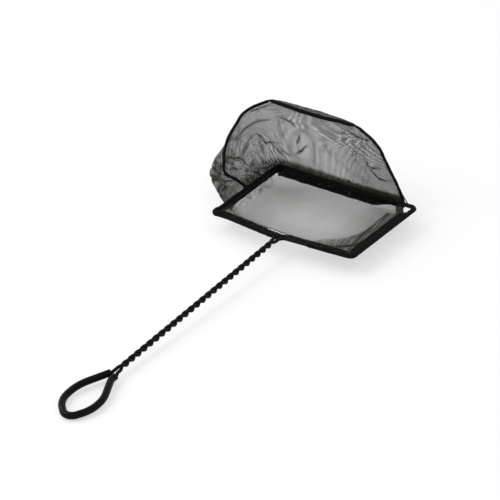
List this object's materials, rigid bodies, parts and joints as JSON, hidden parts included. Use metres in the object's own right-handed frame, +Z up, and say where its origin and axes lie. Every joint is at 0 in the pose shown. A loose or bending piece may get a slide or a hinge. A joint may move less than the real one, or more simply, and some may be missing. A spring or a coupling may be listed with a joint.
{
  "type": "aquarium fish net",
  "caption": "Aquarium fish net with a twisted coated-wire handle, a sleeved grip loop, a four-sided wire rim and a sewn bag of fine black mesh lying mouth up.",
  "frame": {"origin": "On the resting surface under the middle of the mouth, where the bag's front panel lies flat", "axes": "+Z up, +Y from the handle towards the closed end of the bag, +X to the right seen from the handle"},
  "size_m": [0.1987, 0.4595, 0.0791],
  "materials": {
    "steel_core": "drawn steel wire",
    "wire_coat": "smooth black plastic coat",
    "sleeve_vinyl": "glossy black soft vinyl",
    "mesh": "fine open black nylon mesh",
    "hem_mesh": "folded and gathered black nylon mesh",
    "seam_thread": "overlocked black thread",
    "stitch_thread": "black sewing thread"
  },
  "bodies": {
    "root": {"rim_core": "steel_core", "rim_coat": "wire_coat", "strand_left_core": "steel_core", "strand_left_coat": "wire_coat", "strand_right_core": "steel_core", "strand_right_coat": "wire_coat", "tail_left_core": "steel_core", "tail_left_coat": "wire_coat", "tail_right_core": "steel_core", "tail_right_coat": "wire_coat", "loop_sleeve": "sleeve_vinyl", "front_hem": "hem_mesh", "left_hem": "hem_mesh", "back_hem": "hem_mesh", "right_hem": "hem_mesh", "front_panel": "mesh", "back_panel": "mesh", "left_seam": "seam_thread", "right_seam": "seam_thread", "closed_end_seam": "seam_thread", "front_stitching": "stitch_thread", "left_stitching": "stitch_thread", "back_stitching": "stitch_thread", "right_stitching": "stitch_thread"}
  },
  "joints": []
}
